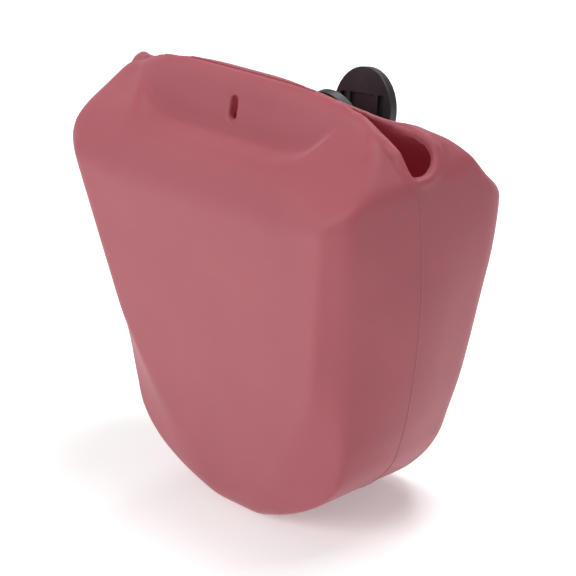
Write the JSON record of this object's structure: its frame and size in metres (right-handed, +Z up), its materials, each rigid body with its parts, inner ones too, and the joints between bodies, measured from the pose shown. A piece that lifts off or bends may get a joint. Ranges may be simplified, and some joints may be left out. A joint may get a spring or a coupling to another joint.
{
  "type": "treat pouch",
  "caption": "Soft silicone treat pouch with magnetic folding lips, teardrop side notches and a sprung belt clip that swivels on a rivet.",
  "frame": {"origin": "centre of the flat bottom the pouch stands on", "axes": "+X to the right seen from the front, -Y the front face, +Y the clip side, +Z up"},
  "size_m": [0.1306, 0.0677, 0.121],
  "materials": {
    "silicone": "matt moulded silicone with a soft sheen",
    "magnet": "nickel plated",
    "black_plastic": "fine satin moulding",
    "steel": "plain zinc plated",
    "spring_steel": "drawn wire"
  },
  "bodies": {
    "pouch": {"pouch_shell": "silicone", "rear_magnet": "magnet", "clip_rivet": "steel", "rivet_washer": "steel"},
    "lip": {"front_lip": "silicone", "front_magnet": "magnet"},
    "clip": {"clip_base": "black_plastic", "clip_pin": "steel", "clip_spring": "spring_steel"},
    "lever": {"clip_lever": "black_plastic"}
  },
  "joints": [
    {"name": "mouth_fold", "type": "hinge", "parent": "pouch", "child": "lip", "pos_m": [0, -0.0214, 0.09815], "axis": [1, 0, 0], "range_deg": [0, 40], "stiffness_Nm_per_rad": 0.01, "springref_deg": -8.59},
    {"name": "clip_swivel", "type": "hinge", "parent": "pouch", "child": "clip", "pos_m": [0, 0.0283, 0.08], "axis": [0, 1, 0], "continuous": true},
    {"name": "clip_squeeze", "type": "hinge", "parent": "clip", "child": "lever", "pos_m": [0.00096, 0.0329, 0.06904], "axis": [0.9962, 0, 0.0872], "range_deg": [0, 14], "stiffness_Nm_per_rad": 0.15, "springref_deg": -34.38, "deforming": ["clip_spring"]}
  ]
}
